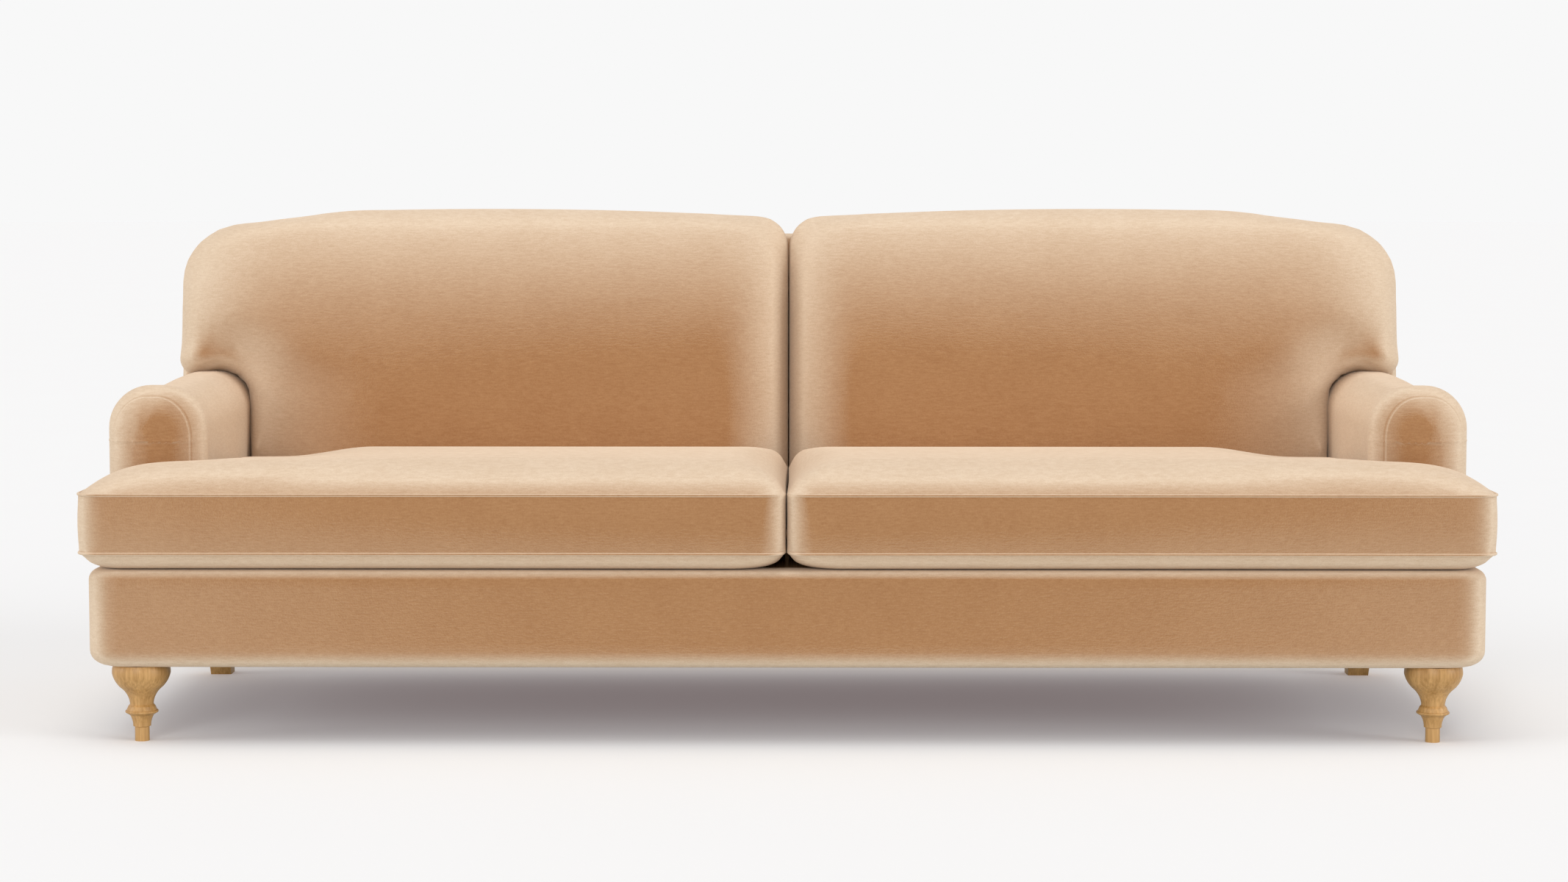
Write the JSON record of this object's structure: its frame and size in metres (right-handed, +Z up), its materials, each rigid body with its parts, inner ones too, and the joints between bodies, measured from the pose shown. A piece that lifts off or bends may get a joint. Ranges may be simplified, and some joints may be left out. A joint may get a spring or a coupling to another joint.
{
  "type": "english roll arm sofa",
  "caption": "Velvet roll arm sofa with loose eared seat and back cushions, low padded base, turned front feet and a raked padded back on a hardwood frame.",
  "frame": {"origin": "on the floor, under the middle of the sofa's outline", "axes": "+X along the width, to the right seen from the front; -Y is the front; +Z up"},
  "size_m": [2.44, 0.98, 0.923],
  "materials": {
    "velvet": "matte",
    "oak": "satin",
    "frame_wood": "matte",
    "webbing": "matte",
    "padding": "matte",
    "cushion_filling": "matte",
    "deck_cloth": "matte",
    "dust_cover": "matte",
    "zip_tape": "matte",
    "steel": "satin"
  },
  "bodies": {
    "frame": {"back_centre_post": "frame_wood", "back_cover": "velvet", "back_padding": "padding", "back_seat_rail": "frame_wood", "back_tack_rail": "frame_wood", "back_top_rail": "frame_wood", "back_webbing": "webbing", "base_cover": "velvet", "corner_blocks": "frame_wood", "dust_cover": "dust_cover", "foot_bolts": "steel", "foot_tee_nuts": "steel", "front_seat_rail": "frame_wood", "left_arm_cover": "velvet", "left_arm_facing": "velvet", "left_arm_padding": "padding", "left_arm_panel": "frame_wood", "left_arm_stump": "frame_wood", "left_arm_tack_rail": "frame_wood", "left_arm_top_rail": "frame_wood", "left_back_foot": "oak", "left_back_post": "frame_wood", "left_front_foot": "oak", "left_side_rail": "frame_wood", "right_arm_cover": "velvet", "right_arm_facing": "velvet", "right_arm_padding": "padding", "right_arm_panel": "frame_wood", "right_arm_stump": "frame_wood", "right_arm_tack_rail": "frame_wood", "right_arm_top_rail": "frame_wood", "right_back_foot": "oak", "right_back_post": "frame_wood", "right_front_foot": "oak", "right_side_rail": "frame_wood", "seat_cross_rails": "frame_wood", "seat_deck_pad": "deck_cloth", "seat_webbing": "webbing"},
    "left_seat_cushion": {"left_seat_cushion_cover": "velvet", "left_seat_cushion_core": "cushion_filling", "left_seat_cushion_zip": "zip_tape"},
    "left_seat_cushion_zip_slider": {"left_seat_cushion_zip_slider": "steel"},
    "left_back_cushion": {"left_back_cushion_cover": "velvet", "left_back_cushion_core": "cushion_filling", "left_back_cushion_zip": "zip_tape"},
    "left_back_cushion_zip_slider": {"left_back_cushion_zip_slider": "steel"},
    "right_seat_cushion": {"right_seat_cushion_cover": "velvet", "right_seat_cushion_core": "cushion_filling", "right_seat_cushion_zip": "zip_tape"},
    "right_seat_cushion_zip_slider": {"right_seat_cushion_zip_slider": "steel"},
    "right_back_cushion": {"right_back_cushion_cover": "velvet", "right_back_cushion_core": "cushion_filling", "right_back_cushion_zip": "zip_tape"},
    "right_back_cushion_zip_slider": {"right_back_cushion_zip_slider": "steel"}
  },
  "joints": [
    {"name": "left_seat_cushion_lift", "type": "slide", "parent": "frame", "child": "left_seat_cushion", "axis": [0, -0.342, 0.9397], "range_m": [0, 0.45]},
    {"name": "left_back_cushion_lift", "type": "slide", "parent": "frame", "child": "left_back_cushion", "axis": [0, 0.1736, 0.9848], "range_m": [0, 0.6]},
    {"name": "left_seat_zip_slide", "type": "slide", "parent": "left_seat_cushion", "child": "left_seat_cushion_zip_slider", "axis": [-1, 0, 0], "range_m": [0, 0.76]},
    {"name": "left_back_zip_slide", "type": "slide", "parent": "left_back_cushion", "child": "left_back_cushion_zip_slider", "axis": [-1, 0, 0], "range_m": [0, 0.76]},
    {"name": "right_seat_cushion_lift", "type": "slide", "parent": "frame", "child": "right_seat_cushion", "axis": [0, -0.342, 0.9397], "range_m": [0, 0.45]},
    {"name": "right_back_cushion_lift", "type": "slide", "parent": "frame", "child": "right_back_cushion", "axis": [0, 0.1736, 0.9848], "range_m": [0, 0.6]},
    {"name": "right_seat_zip_slide", "type": "slide", "parent": "right_seat_cushion", "child": "right_seat_cushion_zip_slider", "axis": [1, 0, 0], "range_m": [0, 0.76]},
    {"name": "right_back_zip_slide", "type": "slide", "parent": "right_back_cushion", "child": "right_back_cushion_zip_slider", "axis": [1, 0, 0], "range_m": [0, 0.76]}
  ]
}
